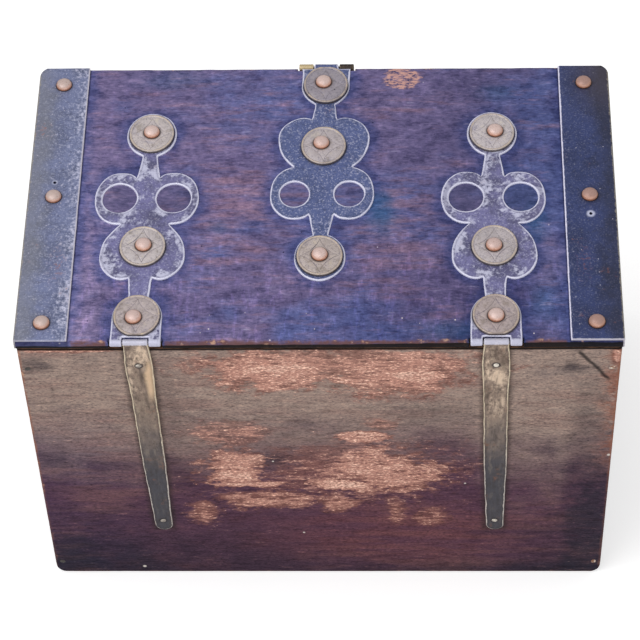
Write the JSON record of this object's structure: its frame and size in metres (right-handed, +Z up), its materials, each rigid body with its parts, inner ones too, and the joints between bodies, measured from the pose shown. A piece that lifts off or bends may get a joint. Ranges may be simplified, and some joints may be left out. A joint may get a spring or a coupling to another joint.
{
  "type": "ship chest",
  "caption": "Nailed wooden ship's chest with a thin lid on strap hinges, iron end bands, cloud-cut plates under roundels and domed nails, and a front hasp for a bolt lock.",
  "frame": {"origin": "middle of the chest's underside, on the floor", "axes": "+Z up, -Y towards the front with the hasp, +X towards the chest's right as seen from the front"},
  "size_m": [0.454, 0.2887, 0.3276],
  "materials": {
    "chest_wood": "dark plum-brown stain, worn to pale salmon in patches",
    "lid_wood": "dark lacquer with a blue-violet sheen",
    "band_iron": "dark patinated sheet, bright at the bend",
    "leaf_iron": "patinated sheet with bright worn edges",
    "strap_iron": "brown patina with bright worn edges",
    "disc_alloy": "dull pale alloy with an engraved star",
    "copper": "worn copper domes",
    "nail_iron": "dark iron",
    "hasp_brass": "dull brass"
  },
  "bodies": {
    "chest": {"back_board": "chest_wood", "back_nail_high_left": "nail_iron", "back_nail_high_right": "nail_iron", "back_nail_low_left": "nail_iron", "back_nail_low_right": "nail_iron", "bottom_board": "chest_wood", "bottom_nail_left_back": "nail_iron", "bottom_nail_left_front": "nail_iron", "bottom_nail_right_back": "nail_iron", "bottom_nail_right_front": "nail_iron", "front_board": "chest_wood", "front_nail_high_left": "nail_iron", "front_nail_high_right": "nail_iron", "front_nail_low_left": "nail_iron", "front_nail_low_right": "nail_iron", "left_eye_staple": "hasp_brass", "left_side_board": "chest_wood", "left_strap": "strap_iron", "left_strap_nail_high": "nail_iron", "left_strap_nail_low": "nail_iron", "right_eye_staple": "hasp_brass", "right_side_board": "chest_wood", "right_strap": "strap_iron", "right_strap_nail_high": "nail_iron", "right_strap_nail_low": "nail_iron"},
    "lid": {"hasp_dome_base": "copper", "hasp_dome_middle": "copper", "hasp_dome_tip": "copper", "hasp_leaf": "leaf_iron", "hasp_pin": "nail_iron", "hasp_roundel_base": "disc_alloy", "hasp_roundel_middle": "disc_alloy", "hasp_roundel_tip": "disc_alloy", "left_band": "band_iron", "left_band_dome_back": "copper", "left_band_dome_front": "copper", "left_band_dome_middle": "copper", "left_dome_base": "copper", "left_dome_middle": "copper", "left_dome_tip": "copper", "left_leaf": "leaf_iron", "left_pin": "nail_iron", "left_roundel_base": "disc_alloy", "left_roundel_middle": "disc_alloy", "left_roundel_tip": "disc_alloy", "lid_board": "lid_wood", "right_band": "band_iron", "right_band_dome_back": "copper", "right_band_dome_front": "copper", "right_band_dome_middle": "copper", "right_dome_base": "copper", "right_dome_middle": "copper", "right_dome_tip": "copper", "right_leaf": "leaf_iron", "right_pin": "nail_iron", "right_roundel_base": "disc_alloy", "right_roundel_middle": "disc_alloy", "right_roundel_tip": "disc_alloy"},
    "hasp": {"hasp": "hasp_brass"}
  },
  "joints": [
    {"name": "lid_hinge", "type": "hinge", "parent": "chest", "child": "lid", "pos_m": [0, 0.137, 0.31812], "axis": [-1, 0, 0], "range_deg": [0, 208]},
    {"name": "hasp_hinge", "type": "hinge", "parent": "lid", "child": "hasp", "pos_m": [-0.0025, -0.139, 0.31812], "axis": [-1, 0, 0], "range_deg": [0, 198]}
  ]
}
